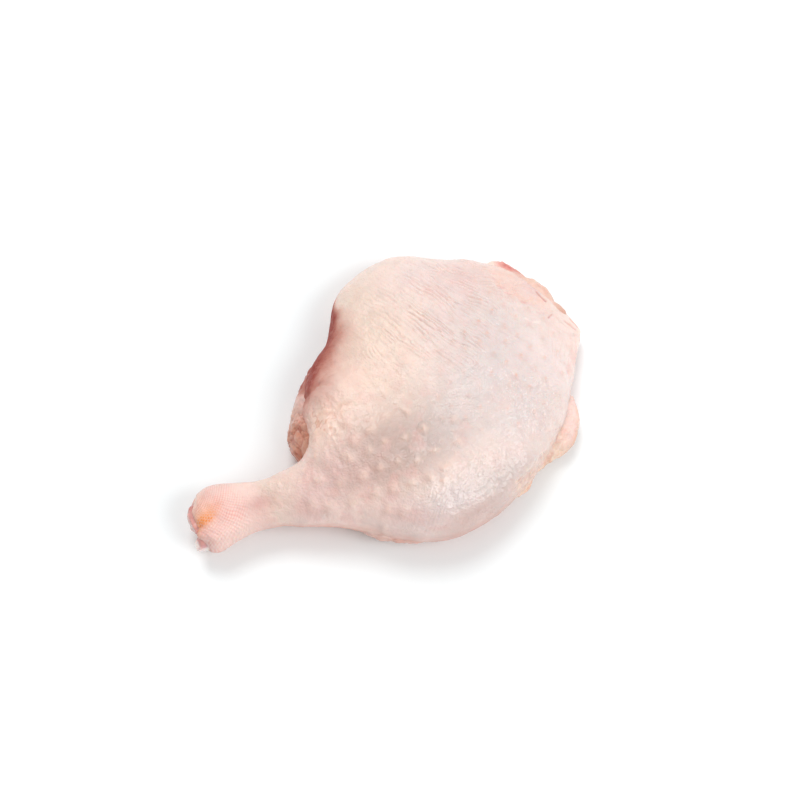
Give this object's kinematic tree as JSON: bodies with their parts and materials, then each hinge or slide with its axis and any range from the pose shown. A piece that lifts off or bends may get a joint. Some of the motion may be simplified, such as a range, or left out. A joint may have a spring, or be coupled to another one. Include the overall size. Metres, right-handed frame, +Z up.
{
  "type": "raw duck leg",
  "caption": "Raw duck leg, drumstick and thigh in one piece with the skin on, cut through the hock, lying skin side up.",
  "frame": {"origin": "middle of the plan outline, at the height of the table it rests on", "axes": "+X runs along the leg from the cut hock to the far edge of the thigh, +Y across it towards the inside of the knee, +Z up out of the skin side"},
  "size_m": [0.182, 0.121, 0.0374],
  "materials": {
    "raw_skin": "moist, semi-gloss, pale pink and cream"
  },
  "bodies": {
    "root": {"duck_leg": "raw_skin"}
  },
  "joints": []
}
